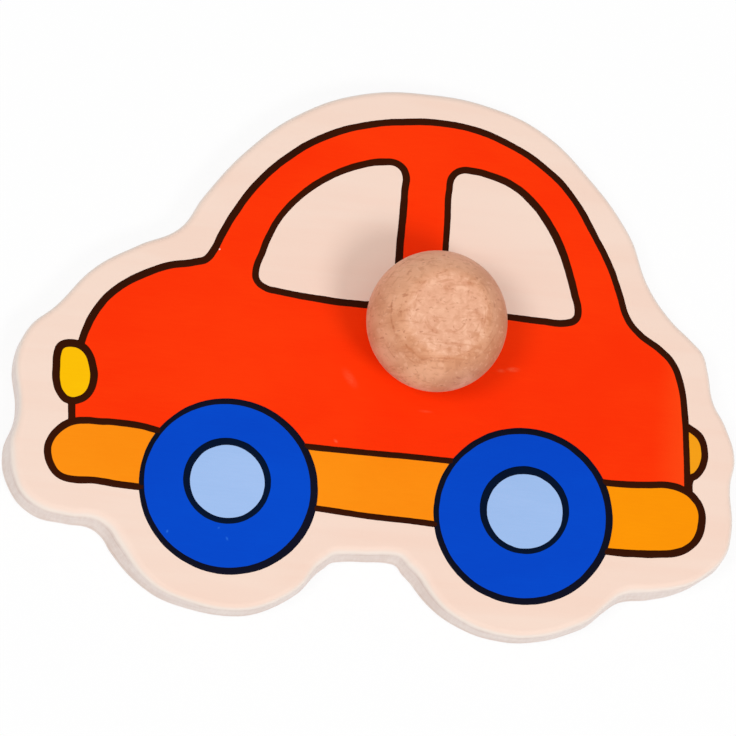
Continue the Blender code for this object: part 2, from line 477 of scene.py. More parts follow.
def wallBirch(name):
    # the sanded wall, its faint glue lines, and a painted highlight on its arris, paler where the rounding
    # is
    material, tree, shader = newMaterial(name)
    height = split(tree, objectPlace(tree))[2]
    streaks = grain(tree, *birch["sawStreaks"])
    cloud = grain(tree, *birch["wallCloud"])
    tone = streaks * 0.35 + grain(tree, *birch["flecks"]) * 0.2 + cloud * 0.45
    colour = blend(tree, tone.remap(0.35, 0.65), birch["wallPale"], birch["wallDark"])
    patchy = cloud.remap(0.40, 0.60, 0.15, birch["glueShare"])
    for level in (coreLow.z, coreHigh.z):
        line = abs(height - level).remap(0.0, birch["glueWidth"], 1.0, 0.0)
        colour = blend(tree, line * patchy, colour, birch["glue"])
    # a painted highlight over the rounding-over at the top of the wall
    rounding = boardEdge["rounding"]
    rounded = height.remap(boardHigh.z - rounding * 1.15, boardHigh.z - rounding * 0.55)
    colour = blend(tree, rounded, colour, birch["arris"])
    finishShader(tree, shader, colour, birch["wallRoughness"], birch["shine"], streaks, birch["sawDepth"])
    return material


def edgeNormals(edge):
    # the direction out of the board at each point of its outline
    out = []
    for index in range(len(edge)):
        along = Vector(edge[(index + 1) % len(edge)]) - Vector(edge[index - 1])
        out.append(Vector((along.y, -along.x)).normalized())
    return out


def sawError(x, y, places):
    # the sum of what each place adds here, which fades away over its reach
    error = 0.0
    for place, amount, reach in places:
        centre = onBoard(place)
        gap = math.hypot(x - centre[0], y - centre[1]) / (reach * mm)
        error += amount * mm * math.exp(-gap * gap)
    return error


def sawnEdge():
    # the outline as the saw cut it, a little off the drawn line in places
    edge = [onBoard(point) for point in smoothPath(carOutline(), True, boardEdge["fineSteps"])]
    sawn = []
    for (x, y), out in zip(edge, edgeNormals(edge)):
        away = sawError(x, y, boardEdge["sawWander"])
        sawn.append((x + out.x * away, y + out.y * away))
    return sawn


def plyMesh(edge, bottom, top, roundTop, roundBottom):
    steps = boardEdge["roundingSteps"]
    size = boardEdge["rounding"]
    quarter = [math.pi / 2 * step / steps for step in range(steps + 1)]
    # each level: the face it starts from, the rise from there in roundings, how far in it lies
    levels = [(bottom, 0.0, 0.0)]
    if roundBottom:
        levels = [(bottom, 1 - math.cos(angle), size * (1 - math.sin(angle))) for angle in quarter]
    if roundTop:
        levels += [(top, math.cos(angle) - 1, size * (1 - math.sin(angle))) for angle in quarter[::-1]]
    else:
        levels.append((top, 0.0, 0.0))
    outward = edgeNormals(edge)
    leans = [sawError(x, y, boardEdge["sawLean"]) for x, y in edge]
    rings = []
    for base, rise, inset in levels:
        ring = []
        for (x, y), out, lean in zip(edge, outward, leans):
            wander = noise.noise(Vector((x, y, 0.0)) * boardEdge["wanderPerMetre"])
            share = 1 + wander * boardEdge["roundingWander"]
            z = base + rise * size * share
            within = lean * z / boardHigh.z + inset * share
            if roundTop:
                within += inset * max(lean / mm, 0.0) * boardEdge["leanRounding"]
            ring.append((x - out.x * within, y - out.y * within, z))
        rings.append(ring)
    return ringMesh(rings)


def makeBoard():
    faceMaterial = faceBirch("birchFace", birch["face"], birch["faceStreak"])
    backMaterial = faceBirch("birchBack", birch["back"], birch["backStreak"])
    wallMaterial = wallBirch("birchWall")
    screwLow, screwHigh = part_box("knob_screw")
    shank = drilled["shankRadius"] * mm
    head = (screwHigh.x - screwLow.x) / 2 + drilled["headClearance"] * mm
    rim = drilled["headRim"] * mm
    past = drilled["past"] * mm
    profile = [
        (0.0, boardHigh.z + past), (shank, boardHigh.z + past), (shank, rim + head - shank),
        (head, rim), (head, -past), (0.0, -past),
    ]
    drillMesh = turnedMesh(profile, drilled["turns"], (screwLow + screwHigh) / 2)
    drill = meshObject("drill", drillMesh, wallMaterial)
    edge = sawnEdge()
    plies = [
        ("backVeneer", "back_ply", "back_birch", 0.0, coreLow.z, False, True, backMaterial),
        ("coreVeneer", "core_ply", "core_birch", coreLow.z, coreHigh.z, False, False, wallMaterial),
        ("faceVeneer", "face_ply", "face_birch", coreHigh.z, boardHigh.z, True, False, faceMaterial),
    ]
    for name, node, slot, bottom, top, roundTop, roundBottom, material in plies:
        mesh = plyMesh(edge, bottom, top, roundTop, roundBottom)
        ply = meshObject(name, mesh, material, wallMaterial)
        for face in ply.data.polygons:
            face.material_index = 1 if abs(face.normal.z) < birch["steepest"] else 0
        cutAway(ply, drill)
        bakeModifiers(ply)
        shadeRound(ply)
        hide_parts(node)
        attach(ply, "root")
    bpy.data.objects.remove(drill)


makeBoard()
print("board made")


# Printed picture: flat films of ink with a dark drawn line over their joins

drawing = {
    "register": (0.10, -0.04),
    "wheelCentres": [(-21.22, -0.09), (21.16, -0.12)],
    "wheelRadii": [12.36, 12.42],
    "hubCentres": [(-21.37, 0.62), (21.35, 0.71)],
    "hubRadii": [5.78, 5.90],
    "pathSteps": 10,
    "open": ("body", "frontBumper", "rearBumper", "sillTop", "sillBottom", "tailLamp"),
    "closed": ("frontWindow", "rearWindow", "headLamp"),
    "body": [
        (-44.1, 7.3), (-44.3, 10.5), (-44.1, 15.0), (-43.2, 20.1), (-41.55, 24.0),
        (-39.2, 26.9), (-35.8, 29.3), (-31.9, 31.15), (-28.2, 32.05), (-26.7, 32.6),
        (-25.65, 34.05), (-24.8, 36.15), (-22.95, 40.0), (-19.85, 44.75), (-15.9, 48.85),
        (-11.0, 52.3), (-5.0, 54.65), (0.5, 55.7), (5.5, 56.05), (10.5, 55.55),
        (15.5, 53.95), (20.6, 51.2), (24.8, 47.5), (28.5, 42.1), (31.2, 37.45),
        (32.85, 33.5), (34.2, 30.2), (36.1, 28.1), (39.05, 26.25), (41.0, 24.45),
        (42.35, 21.7), (43.3, 17.3), (43.9, 12.0), (44.25, 8.6), (44.4, 6.4),
    ],
    "bodyUnderside": [(38.0, 6.2), (31.0, 6.0), (8.0, 6.9), (-10.0, 6.85), (-32.0, 6.9), (-40.0, 7.4)],
    "frontWindow": [
        (-19.45, 31.9), (-18.8, 34.25), (-17.8, 37.35), (-16.15, 40.55), (-13.25, 43.95),
        (-9.55, 46.8), (-5.6, 48.7), (-2.3, 49.55), (-0.2, 49.4), (0.9, 48.3),
        (1.05, 45.5), (1.0, 41.5), (0.92, 37.5), (0.9, 34.5), (0.7, 31.2),
        (-0.1, 29.2), (-2.0, 28.55), (-6.0, 28.35), (-10.0, 28.5), (-14.5, 28.85),
        (-16.3, 29.05), (-17.8, 29.3), (-19.2, 30.3),
    ],
    "rearWindow": [
        (7.35, 46.5), (7.65, 48.35), (8.8, 49.4), (10.6, 49.55), (13.3, 49.1),
        (16.6, 47.95), (19.55, 45.75), (21.9, 43.05), (23.8, 39.95), (25.2, 36.6),
        (26.4, 33.0), (27.05, 30.6), (26.8, 29.35), (25.6, 28.7), (22.0, 28.6),
        (16.0, 28.75), (10.0, 28.7), (7.9, 29.1), (7.3, 30.5), (7.4, 36.0), (7.42, 41.5),
    ],
    "headLamp": [
        (-46.88, 15.0), (-46.73, 12.8), (-46.03, 11.05), (-44.85, 10.1), (-43.3, 10.3),
        (-42.05, 11.4), (-41.45, 13.5), (-41.8, 15.65), (-42.55, 17.3), (-43.55, 18.15),
        (-45.05, 18.4), (-46.33, 17.95), (-46.83, 16.8),
    ],
    "frontBumper": [
        (-31.5, 6.9), (-34.4, 7.4), (-38.4, 7.5), (-40.2, 7.4), (-41.9, 7.4), (-44.2, 6.9),
        (-45.88, 5.7), (-47.02, 3.9), (-47.22, 2.2), (-46.38, 0.1), (-45.28, -0.95),
        (-43.7, -1.35), (-40.1, -1.22), (-36.9, -1.42), (-33.3, -1.5),
    ],
    "sillTop": [(-10.8, 6.8), (-6.0, 6.78), (0.0, 6.82), (5.0, 6.87), (10.6, 6.85)],
    "sillBottom": [(-9.0, -1.95), (-5.0, -2.18), (0.0, -2.4), (5.0, -2.46), (9.0, -2.6)],
    "underWheel": 3.0,   # how far the sill's ink runs on under the wheels
    "rearBumper": [
        (31.8, 6.0), (35.0, 6.0), (38.5, 6.23), (41.6, 6.5), (43.8, 6.1),
        (45.5, 5.0), (46.6, 3.3), (46.8, 1.3), (46.4, -0.6), (45.25, -2.15),
        (43.5, -3.15), (41.0, -3.6), (37.5, -3.9), (33.0, -4.0),
    ],
    "tailLamp": [
        (43.7, 15.4), (44.5, 14.95), (45.25, 14.5), (45.85, 13.9), (46.5, 12.1), (46.5, 10.4),
        (46.1, 9.2), (45.5, 8.35), (44.9, 7.95), (44.65, 7.3), (44.7, 5.9),
    ],
}

# each line's width in mm, how much more it is on its heavy side, and where that side lies
lineShape = {
    "body": (1.04, 0.07, 190.0),
    "frontWindow": (1.04, 0.08, -20.0),
    "rearWindow": (1.05, 0.13, 30.0),
    "headLamp": (1.19, 0.04, 60.0),
    "frontBumper": (1.08, 0.03, 180.0),
    "rearBumper": (1.11, 0.04, -60.0),
    "tailLamp": (1.07, 0.0, 0.0),
    "sillTop": (0.96, 0.0, 0.0),
    "sillBottom": (0.94, 0.0, 0.0),
    "frontWheel": (1.02, 0.18, -20.0),
    "rearWheel": (1.03, 0.10, -10.0),
    "frontHub": (1.13, 0.09, 105.0),
    "rearHub": (1.17, 0.15, 115.0),
}

# what every drawn line shares: the tree's inputs
lineHand = {
    "Ridge": 0.035 * mm,
    "Wobble": 0.07 * mm,
    "Shiver": 0.03 * mm,
    "Swell": 0.12,
    "Spacing": 0.22 * mm,
}

ink = {   # each colour, and what it is where the ink lies thicker
    "red": (srgb(255, 56, 2), srgb(252, 48, 0)),
    "orange": (srgb(254, 146, 15), srgb(251, 139, 10)),
    "amber": (srgb(255, 152, 0), srgb(250, 146, 0)),
    "tailAmber": (srgb(248, 163, 24), srgb(243, 156, 18)),
    "yellow": (srgb(254, 196, 0), srgb(251, 188, 0)),
    "blue": (srgb(0, 74, 205), srgb(0, 69, 199)),
    "paleBlue": (srgb(164, 195, 242), srgb(156, 189, 237)),
    "line": (srgb(57, 18, 0), srgb(49, 14, 0)),
    "ring": (srgb(14, 14, 34), srgb(8, 12, 28)),
    "hub": (srgb(0, 18, 47), srgb(0, 14, 39)),
    "roughness": 0.45,
    "shine": 0.04,
    "orangePeel": 0.004 * mm,
    "cloud": ((0.05, 0.09, 0.09), 3.0, 0.5, 0.4),
    "fibre": ((0.25, 4.0, 4.0), 3.0, 0.6),
    "speck": ((6.0, 6.0, 6.0), 2.0),
}

# faint rubs in the red and the blue: place, turn, half the length and breadth, how strong
rubs = {
    "red": [
        ((18.3, 21.1), 4.0, 1.3, 0.50, 0.42), ((16.6, 20.75), 0.0, 0.9, 0.40, 0.30),
        ((-4.9, 17.4), -52.0, 2.2, 0.90, 0.26), ((6.2, 13.7), 0.0, 1.4, 0.30, 0.20),
        ((-6.3, 8.05), -35.0, 0.5, 0.30, 0.60),
    ],
    "redRubbed": srgb(255, 118, 78),
    "blue": [
        ((-29.4, -7.55), 70.0, 0.35, 0.22, 0.60), ((-20.8, -7.75), -60.0, 0.45, 0.22, 0.50),
        ((-22.1, -6.3), 40.0, 0.30, 0.20, 0.40),
    ],
    "blueRubbed": srgb(58, 138, 242),
    "breakUp": ((1.6, 3.0, 3.0), 3.0, 0.6),
}

# in the red, a chip down to the wood, and paler red towards the right-hand edge
redChipAndPaleEdge = {
    "chip": (-24.85, 34.3),
    "chipSize": 0.15,
    "rightPale": srgb(255, 84, 22),
    "rightPaleFrom": 38.5,
    "rightPaleTo": 44.0,
    "rightPaleShare": 0.45,
}


def onPrint(point):
    # the picture lies a little off the board's own middle, as it was printed
    return onBoard((point[0] + drawing["register"][0], point[1] + drawing["register"][1]))


def printPath(name):
    path = smoothPath(drawing[name], name in drawing["closed"], drawing["pathSteps"])
    return [onPrint(point) for point in path]


def circleLoop(centre, radius, count=96):
    x, y = onPrint(centre)
    angles = [2 * math.pi * step / count for step in range(count)]
    return [
        (x + radius * perUnit[0] * math.cos(angle), y + radius * perUnit[1] * math.sin(angle))
        for angle in angles
    ]


def fromSpot(tree, place, halfLength, halfBreadth, turn=0.0):
    # 0 in the middle of a spot on the print, 1 at its edge
    centre = (*onPrint(place), faceHeight)
    spot = placeInMm(tree, (1 / halfLength, 1 / halfBreadth, 0.1), centre, (0.0, 0.0, math.radians(turn)))
    return vectorMath(tree, "LENGTH", {0: spot}, "Value")


def addRubs(tree, colour, name):
    broken = grain(tree, *rubs["breakUp"]).remap(0.25, 0.60, 0.3, 1.0)
    for place, turn, halfLength, halfBreadth, strength in rubs[name]:
        near = fromSpot(tree, place, halfLength, halfBreadth, turn).remap(1.0, 0.0, 0.0, strength)
        colour = blend(tree, near * broken, colour, rubs[name + "Rubbed"])
    return colour


def addRedChipAndPaleEdge(tree, colour):
    gap = fromSpot(tree, redChipAndPaleEdge["chip"], redChipAndPaleEdge["chipSize"], redChipAndPaleEdge["chipSize"])
    colour = blend(tree, gap.remap(1.0, 0.6, 0.0, 0.8), colour, birch["face"])
    # the red turns paler towards its right-hand edge
    low, high = [onPrint((redChipAndPaleEdge[key], 0.0))[0] for key in ("rightPaleFrom", "rightPaleTo")]
    rightPale = split(tree, objectPlace(tree))[0].remap(low, high, 0.0, redChipAndPaleEdge["rightPaleShare"])
    return blend(tree, rightPale, colour, redChipAndPaleEdge["rightPale"])


def printedInk(name, colour):
    material, tree, shader = newMaterial(name)
    # the screen lays the ink a little unevenly, and the grain tells through it
    fibre = grain(tree, *ink["fibre"])
    tone = grain(tree, *ink["cloud"]) * 0.7 + fibre * 0.3
    shown = blend(tree, tone.remap(0.3, 0.7), *ink[colour])
    if colour in rubs:
        shown = addRubs(tree, shown, colour)
    if colour == "red":
        shown = addRedChipAndPaleEdge(tree, shown)
    relief = fibre + grain(tree, *ink["speck"]) * 0.6
    finishShader(tree, shader, shown, ink["roughness"], ink["shine"], relief, ink["orangePeel"])
    return material


def inkFilm(name, loops, lift, colour, slot):
    # one colour's flat areas: closed loops on the board, inner ones cut out
    curve = bpy.data.curves.new(name, "CURVE")
    curve.dimensions = "2D"
    curve.fill_mode = "BOTH"
    curve.extrude = lift * mm / 2
    for loop in loops:
        spline = curve.splines.new("POLY")
        spline.points.add(len(loop) - 1)
        for point, (x, y) in zip(spline.points, loop):
            point.co = (x, y, 0.0, 1.0)
        spline.use_cyclic_u = True
    mesh = curveMesh(curve)
    mesh.transform(Matrix.Translation((0.0, 0.0, faceHeight + lift * mm / 2)))
    shape = bmesh.new()
    shape.from_mesh(mesh)
    bmesh.ops.remove_doubles(shape, verts=shape.verts, dist=0.001 * mm)
    piece = meshObject(name, closeMesh(shape, mesh), printedInk(name, colour))
    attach(piece, "root")


def makeFilms():
    path = {name: printPath(name) for name in drawing["open"] + drawing["closed"]}
    underside = [onPrint(point) for point in drawing["bodyUnderside"]]
    reach = drawing["underWheel"]
    top, bottom = drawing["sillTop"], drawing["sillBottom"]
    sill = [
        (top[0][0] - reach, top[0][1]), *top, (top[-1][0] + reach, top[-1][1]),
        (bottom[-1][0] + reach, bottom[-1][1]), *reversed(bottom), (bottom[0][0] - reach, bottom[0][1]),
    ]
    wheels = [circleLoop(*ring) for ring in zip(drawing["wheelCentres"], drawing["wheelRadii"])]
    hubs = [circleLoop(*ring) for ring in zip(drawing["hubCentres"], drawing["hubRadii"])]
    car = [path["body"] + underside, path["frontWindow"], path["rearWindow"]]
    films = [   # name, loops, thickness in mm, ink, slot
        ("redInk", car, 0.008, "red", "red_print"),
        ("orangeInk", [path["frontBumper"]], 0.012, "orange", "orange_print"),
        ("sillInk", [[onPrint(point) for point in sill]], 0.012, "orange", "orange_print"),
        ("amberInk", [path["rearBumper"]], 0.012, "amber", "orange_print"),
        ("tailLampInk", [path["tailLamp"]], 0.012, "tailAmber", "orange_print"),
        ("yellowInk", [path["headLamp"]], 0.012, "yellow", "yellow_print"),
        ("blueInk", wheels, 0.016, "blue", "blue_print"),
        ("paleBlueInk", hubs, 0.020, "paleBlue", "pale_blue_print"),
    ]
    for film in films:
        inkFilm(*film)


makeFilms()
print("ink films made")


def drawnLineTree():
    # a drawn line of ink that follows a path: it wanders and swells a little,
    # and stands up from the board in a low ridge
    tree, start = newTree("drawnLine", ["Width", *lineHand, "Seed"], {})
    position = field(tree, "GeometryNodeInputPosition", {})

    def handNoise(scale, offset, output):
        inputs = {"Vector": position, "W": start["Seed"] + offset, "Scale": scale, "Detail": 2.0}
        return field(tree, "ShaderNodeTexNoise", inputs, output, noise_dimensions="4D")

    def sideways(scale, offset, size):
        # a noise's colour as a shift in the board's plane
        colour = handNoise(scale, offset, "Color")
        centred = vectorMath(tree, "SUBTRACT", {0: colour, 1: (0.5, 0.5, 0.5)})
        flat = vectorMath(tree, "MULTIPLY", {0: centred, 1: (2.0, 2.0, 0.0)})
        return vectorMath(tree, "SCALE", {0: flat, "Scale": size})

    line = field(tree, "GeometryNodeMeshToCurve", {"Mesh": start["Geometry"]})
    spacing = {"Curve": line, "Length": start["Spacing"]}
    line = field(tree, "GeometryNodeResampleCurve", spacing, mode="LENGTH")
    wobble = sideways(260.0, 0.0, start["Wobble"])
    shiver = sideways(1300.0, 3.0, start["Shiver"])
    shift = vectorMath(tree, "ADD", {0: wobble, 1: shiver})
    line = field(tree, "GeometryNodeSetPosition", {"Geometry": line, "Offset": shift})
    line = field(tree, "GeometryNodeSetCurveNormal", {"Curve": line}, mode="Z_UP")
    ring = field(tree, "GeometryNodeCurvePrimitiveCircle", {"Resolution": 12, "Radius": 1.0}, mode="RADIUS")
    section = combine(tree, start["Width"] * 0.5, start["Ridge"], 1.0)
    ring = field(tree, "GeometryNodeTransform", {"Geometry": ring, "Scale": section})
    heavy = field(tree, "GeometryNodeInputNamedAttribute", {"Name": "lineShare"}, "Attribute")
    swell = (handNoise(330.0, 7.0, "Fac") - 0.5) * start["Swell"] * 2.0
    inputs = {"Curve": line, "Profile Curve": ring, "Scale": swell + heavy, "Fill Caps": True}
    swept = field(tree, "GeometryNodeCurveToMesh", inputs)
    smooth = field(tree, "GeometryNodeSetShadeSmooth", {"Geometry": swept})
    return endTree(tree, smooth, start["Material"])


def drawnLine(name, paths, closed, shape, seed, material, tree):
    # the paths' points lie on the board; shape is the line's entry in lineShape
    width, heavier, towards = shape
    places = [point for path in paths for point in path]
    middleX, middleY = [
        (min(place[axis] for place in places) + max(place[axis] for place in places)) / 2 for axis in (0, 1)
    ]
    wire = bmesh.new()
    lineShare = wire.verts.layers.float.new("lineShare")
    for path in paths:
        corners = [wire.verts.new((x, y, faceHeight)) for x, y in path]
        for corner in corners:
            angle = math.atan2(corner.co.y - middleY, corner.co.x - middleX)
            corner[lineShare] = 1 + heavier * math.cos(angle - math.radians(towards))
        for pair in zip(corners, corners[1:]):
            wire.edges.new(pair)
        if closed:
            wire.edges.new((corners[-1], corners[0]))
    line = meshObject(name, closeMesh(wire, bpy.data.meshes.new(name)), material)
    addTree(line, tree, {"Width": width * mm, **lineHand, "Seed": seed, "Material": material})
    bakeModifiers(line)
    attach(line, "root")


def isInside(point, loop):
    # how often a ray to the right crosses the loop
    inside = False
    for (ax, ay), (bx, by) in zip(loop, [*loop[1:], loop[0]]):
        if (ay > point[1]) != (by > point[1]):
            if point[0] < ax + (point[1] - ay) * (bx - ax) / (by - ay):
                inside = not inside
    return inside


def runsOutside(path, loop):
    # the stretches of a path that a closed loop doesn't cover
    runs = [[]]
    for point in path:
        if not isInside(point, loop):
            runs[-1].append(point)
        elif runs[-1]:
            runs.append([])
    return [run for run in runs if len(run) > 1]


def makeLines():
    tree = drawnLineTree()
    brown = printedInk("darkLineInk", "line")
    black = printedInk("wheelLineInk", "ring")
    navy = printedInk("hubLineInk", "hub")
    for number, name in enumerate(drawing["open"] + drawing["closed"]):
        path = printPath(name)
        runs = runsOutside(path, printPath("headLamp")) if name == "body" else [path]
        closed = name in drawing["closed"]
        drawnLine(name + "Line", runs, closed, lineShape[name], float(number), brown, tree)
    for number, side in enumerate(("front", "rear")):
        wheel = circleLoop(drawing["wheelCentres"][number], drawing["wheelRadii"][number], 180)
        hub = circleLoop(drawing["hubCentres"][number], drawing["hubRadii"][number], 120)
        drawnLine(side + "WheelLine", [wheel], True, lineShape[side + "Wheel"], 20.0 + number, black, tree)
        drawnLine(side + "HubLine", [hub], True, lineShape[side + "Hub"], 30.0 + number, navy, tree)


makeLines()
print("drawn lines made")


# Knob: a beech ball, flat at its foot and its top; the top flat leans a little, as the lathe left it

knobLook = {
    "turns": 192,
    "arcSteps": 96,
    "flatSteps": 12,
    "softSteps": 8,
    "cutterTurns": 96,
    "footDiameter": 9.2 * mm,
    "topFlatDiameter": 11.8 * mm,
    "flatEdge": 0.8 * mm,
    "edgeBreak": 0.3 * mm,
    "lean": 6.0,
    "leanTowards": -50.0,
    "uneven": 0.08 * mm,
    "unevenPerMetre": 130.0,
    "pilotRadius": 1.4 * mm,
    "pilotDepth": 10.9 * mm,
}

beech = {
    "endGrainRadius": 5.35,
    "sidePale": srgb(235, 172, 134),
    "side": srgb(216, 149, 109),
    "sideDark": srgb(195, 125, 84),
    "flat": srgb(233, 172, 138),
    "flatPale": srgb(244, 188, 154),
    "flatDark": srgb(215, 149, 112),
    "mark": srgb(193, 113, 68),
    "pit": srgb(178, 97, 55),
    "paintedShadeFacing": 8.0,        # which way the ball's side with painted shade and its side with painted light look, in degrees
    "paintedLightFacing": 105.0,
    "roughness": 0.5,
    "shine": 0.35,
    "sheen": 0.10,
    "sheenTint": srgb(255, 232, 222),
    "toolDepth": 0.006 * mm,
    "grains": {   # units to the mm, a shift to another stretch of the wood, detail, roughness, distortion
        "cloud": ((0.20, 0.20, 0.12), 0.0, 3.0),
        "mottle": ((0.95, 0.95, 0.7), 0.0, 3.0, 0.55, 0.5),
        "growth": ((0.16, 1.9, 0.22), 11.0, 2.0, 0.5, 0.5),
        "fibres": ((0.7, 2.0, 0.9), 31.0, 2.0, 0.5, 0.4),
        "pits": ((1.4, 1.8, 0.9), 57.0, 1.0, 0.5, 0.6),
        "chips": ((1.5, 1.5, 0.9), 83.0, 1.0, 0.5, 0.3),
    },
    # layers of colour: what each follows, where it starts and is full, how strong, its colour
    "sideLayers": [
        # the second and third layers paint light on one side of the ball and shade on the other
        ("cloud", 0.38, 0.62, 1.0, "side"), ("towardsPaintedLight", 3.5, 7.5, 0.9, "sidePale"),
        ("towardsPaintedShade", 3.0, 8.0, 0.5, "sideDark"), ("mottle", 0.50, 0.70, 0.42, "sideDark"),
    ],
    "flatLayers": [
        ("mottle", 0.52, 0.32, 1.0, "flatPale"), ("mottle", 0.52, 0.70, 0.75, "flatDark"),
        ("fromAxis", 2.6, 0.6, 0.30, "flatPale"),
    ],
    "allLayers": [
        ("chips", 0.58, 0.72, 0.38, "flatPale"), ("growth", 0.60, 0.72, 0.32, "mark"),
        ("fibres", 0.58, 0.72, 0.30, "mark"), ("marks", 0.60, 0.70, 0.36, "mark"),
        ("pits", 0.64, 0.76, 0.50, "pit"),
    ],
}

# brown lines that stand out in the knob's wood, in mm about its middle and its leaning axis
knobLines = {
    "growth": [   # y, the middle in x, half the length, how strong
        (-6.0, -4.7, 1.6, 0.50), (-6.9, -1.5, 3.0, 0.50), (-7.8, -0.7, 1.2, 0.40),
        (0.85, 3.4, 1.4, 0.40), (-3.2, -3.7, 0.35, 0.60),
    ],
    "growthBreadth": 0.22,
    "turning": [   # how far over the ball from the flat's middle, direction, half the sweep, how strong
        (9.1, -170.0, 22.0, 0.60), (2.7, 128.0, 24.0, 0.50), (8.4, -48.0, 4.0, 0.70),
        (9.2, 136.0, 4.0, 0.45), (7.7, 17.0, 5.0, 0.55),
    ],
    "turningBreadth": 0.28,
    "wander": 0.8,
}


def turnedBeech(centre, turn):
    material, tree, shader = newMaterial("turnedBeech")
    x, y, z = split(tree, placeInMm(tree, centre=centre, turn=turn))
    wood = {}
    for name, (perMm, shift, *character) in beech["grains"].items():
        stretch = (centre[0] + shift * mm, centre[1], centre[2])
        wood[name] = noiseAt(tree, placeInMm(tree, perMm, stretch, turn), *character)

    def layered(colour, layers):
        for name, low, high, most, tint in layers:
            colour = blend(tree, wood[name].remap(low, high, 0.0, most), colour, beech[tint])
        return colour

    def near(value, middle, half, full):
        # 1 within the full distance of the middle, 0 past the half width
        return abs(value - middle).remap(half, full)

    def facing(degrees):
        # how far a point lies towards one direction round the axis, in mm
        angle = math.radians(degrees)
        return x * math.cos(angle) + y * math.sin(angle)

    fromAxis = (x * x + y * y).calc("SQRT")
    # the angle from the axis runs on from the flat over the sides, so turning marks follow both
    polar = fromAxis.calc("ARCTAN2", z) * 10.0
    marks = noiseAt(tree, combine(tree, polar * 1.6, x * 0.28, y * 0.28), 2.0)
    wood["marks"] = marks * fromAxis.remap(1.5, 3.0, 0.8, 1.0)
    wood["fromAxis"] = fromAxis
    # painted light on the ball's paler side and painted shade on its darker side, by how far each point
    # lies towards them
    wood["towardsPaintedLight"] = facing(beech["paintedLightFacing"])
    wood["towardsPaintedShade"] = facing(beech["paintedShadeFacing"])
    sides = layered(beech["sidePale"], beech["sideLayers"])
    flat = layered(beech["flat"], beech["flatLayers"])
    # end grain shows on the flat, with an uneven edge
    centred = wood["mottle"] - 0.5
    edge = beech["endGrainRadius"]
    above = z.remap(2.0, 4.0)
    endGrain = (fromAxis + centred * 3.0).remap(edge + 1.6, edge - 0.8) * above
    colour = layered(blend(tree, endGrain, sides, flat), beech["allLayers"])
    wander = centred * knobLines["wander"]
    broken = wood["chips"].remap(0.35, 0.55, 1.0, 0.4)
    for level, middle, half, strength in knobLines["growth"]:
        line = near(y + wander, level, knobLines["growthBreadth"], 0.0) * near(x, middle, half, half * 0.5)
        colour = blend(tree, line * broken * (above * strength), colour, beech["pit"])
    for level, direction, sweep, strength in knobLines["turning"]:
        line = near(polar + wander, level, knobLines["turningBreadth"], 0.0)
        ends = math.cos(math.radians(sweep))
        towards = facing(direction) / fromAxis.calc("MAXIMUM", 0.1)
        line = line * towards.remap(ends, (1 + ends) / 2)
        colour = blend(tree, line * broken * strength, colour, beech["pit"])
    relief = wood["mottle"] * 0.8 - (wood["pits"] + wood["marks"])
    finishShader(tree, shader, colour, beech["roughness"], beech["shine"], relief, beech["toolDepth"])
    fill(tree, shader, {"Sheen Weight": beech["sheen"], "Sheen Tint": beech["sheenTint"]})
    return material


def ballProfile(radius):
    # the ball about its own middle, with its top flat and the flat's soft edge
    flat = knobLook["topFlatDiameter"] / 2
    edge = knobLook["flatEdge"]
    flatAngle = math.asin(flat / radius)
    flatHeight = radius * math.cos(flatAngle)
    steps = knobLook["flatSteps"]
    ball = [((flat - edge) * step / steps, flatHeight) for step in range(steps + 1)]
    # the soft edge: a curve from the flat to the ball, drawn towards their meeting
    startAngle = flatAngle + edge / radius
    inner = Vector((flat - edge, flatHeight))
    corner = Vector((flat, flatHeight))
    outer = Vector((radius * math.sin(startAngle), radius * math.cos(startAngle)))
    for step in range(1, knobLook["softSteps"]):
        share = step / knobLook["softSteps"]
        ball.append(tuple(inner * (1 - share) ** 2 + corner * 2 * share * (1 - share) + outer * share ** 2))
    steps = knobLook["arcSteps"]
    for step in range(steps):
        angle = startAngle + (math.pi - startAngle) * step / steps
        ball.append((radius * math.sin(angle), radius * math.cos(angle)))
    return [*ball, (0.0, -radius)]


def makeKnob():
    low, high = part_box("knob")
    middle = ((low.x + high.x) / 2, (low.y + high.y) / 2)
    radius = (high.x - low.x) / 2
    mesh = turnedMesh(ballProfile(radius), knobLook["turns"], (0.0, 0.0))
    for vertex in mesh.vertices:
        bulge = noise.noise(vertex.co * knobLook["unevenPerMetre"]) * 0.5 + 0.5
        vertex.co += vertex.co.normalized() * bulge * knobLook["uneven"]
    foot = knobLook["footDiameter"] / 2
    centre = Vector((*middle, low.z + radius * math.cos(math.asin(foot / radius))))
    axis = pointing(knobLook["leanTowards"] + 90.0, 0.0)
    lean = Matrix.Rotation(math.radians(knobLook["lean"]), 4, axis)
    mesh.transform(Matrix.Translation(centre) @ lean)
    wood = turnedBeech(centre, lean.to_euler())
    knob = meshObject("beechKnob", mesh, wood)
    # one upright cutter squares the foot, breaks its edge and drills for the screw
    broken = knobLook["edgeBreak"]
    pilot = knobLook["pilotRadius"]
    top = low.z + knobLook["pilotDepth"]
    cut = [
        (0.0, top), (pilot, top - pilot), (pilot, low.z), (foot - broken, low.z),
        (foot + broken, low.z + broken / 2), (radius, low.z + broken / 2), (radius, low.z - radius),
        (0.0, low.z - radius),
    ]
    cutter = meshObject("footCutter", turnedMesh(cut, knobLook["cutterTurns"], middle), wood)
    cutAway(knob, cutter)
    bakeModifiers(knob)
    bpy.data.objects.remove(cutter)
    shadeRound(knob, 40.0)
    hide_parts("knob")
    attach(knob, "root")


makeKnob()
print("knob made")


# Screw: zinc plated steel, countersunk, with a cross recess and a rolled thread

